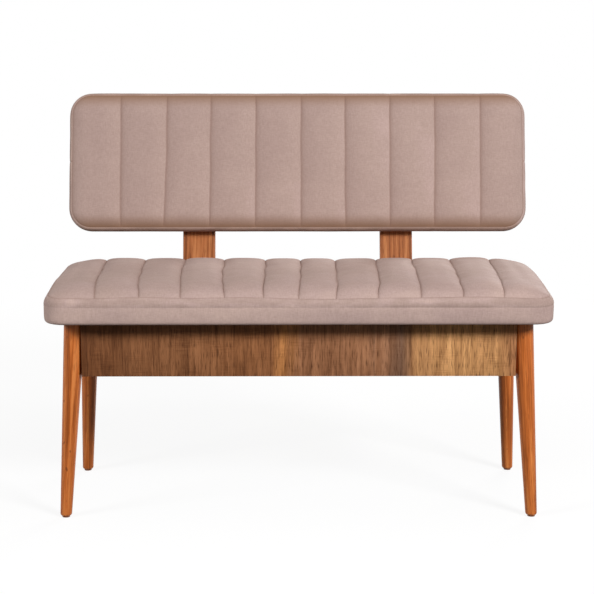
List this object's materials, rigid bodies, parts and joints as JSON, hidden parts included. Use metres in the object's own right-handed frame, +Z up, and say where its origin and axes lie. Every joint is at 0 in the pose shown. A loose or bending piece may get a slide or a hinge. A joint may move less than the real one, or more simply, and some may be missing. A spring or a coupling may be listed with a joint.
{
  "type": "upholstered dining bench",
  "caption": "Padded dining bench with a backrest: channel-quilted velvet seat and back on flat wooden posts, a walnut-pattern apron box and round tapered splayed legs.",
  "frame": {"origin": "on the floor, under the centre of the bench's bounding box", "axes": "+X along the seat to the sitter's left, which is the right-hand side of the front view; +Y from the front to the back; +Z up"},
  "size_m": [1.045, 0.55, 0.8559],
  "materials": {
    "velvet": "short-pile velvet, dusty rose taupe",
    "foam": "open-cell upholstery foam",
    "dust_cloth": "thin non-woven cloth, black",
    "plywood": "raw plywood",
    "walnut_board": "walnut-pattern faced board, satin, upright grain",
    "stained_beech": "orange-brown stained beech, satin lacquer",
    "plain_beech": "raw beech",
    "glide_plastic": "moulded, dark brown",
    "zinc_steel": "zinc plated"
  },
  "bodies": {
    "root": {"apron_dowels": "plain_beech", "back_board": "plywood", "back_foam": "foam", "back_front_cover": "velvet", "back_lower_band": "velvet", "back_rear_cover": "velvet", "back_tee_nuts": "zinc_steel", "back_upper_band": "velvet", "centre_rail": "walnut_board", "corner_block_front_left": "plain_beech", "corner_block_front_right": "plain_beech", "corner_block_rear_left": "plain_beech", "corner_block_rear_right": "plain_beech", "corner_block_screws": "zinc_steel", "foot_glide_front_left": "glide_plastic", "foot_glide_front_right": "glide_plastic", "foot_glide_rear_left": "glide_plastic", "foot_glide_rear_right": "glide_plastic", "front_apron": "walnut_board", "left_apron": "walnut_board", "leg_bolt_washers": "zinc_steel", "leg_bolts": "zinc_steel", "leg_front_left": "stained_beech", "leg_front_right": "stained_beech", "leg_insert_nuts": "zinc_steel", "leg_rear_left": "stained_beech", "leg_rear_right": "stained_beech", "post_apron_bolts": "zinc_steel", "post_apron_nuts": "zinc_steel", "post_apron_washers": "zinc_steel", "post_back_bolts": "zinc_steel", "post_left": "stained_beech", "post_right": "stained_beech", "rail_dowels": "plain_beech", "rear_apron": "walnut_board", "right_apron": "walnut_board", "seat_board": "plywood", "seat_border_band": "velvet", "seat_bracket_front_left": "zinc_steel", "seat_bracket_front_right": "zinc_steel", "seat_bracket_left": "zinc_steel", "seat_bracket_rear_left": "zinc_steel", "seat_bracket_rear_right": "zinc_steel", "seat_bracket_right": "zinc_steel", "seat_bracket_screws": "zinc_steel", "seat_dust_cover": "dust_cloth", "seat_foam": "foam", "seat_top_cover": "velvet"}
  },
  "joints": []
}
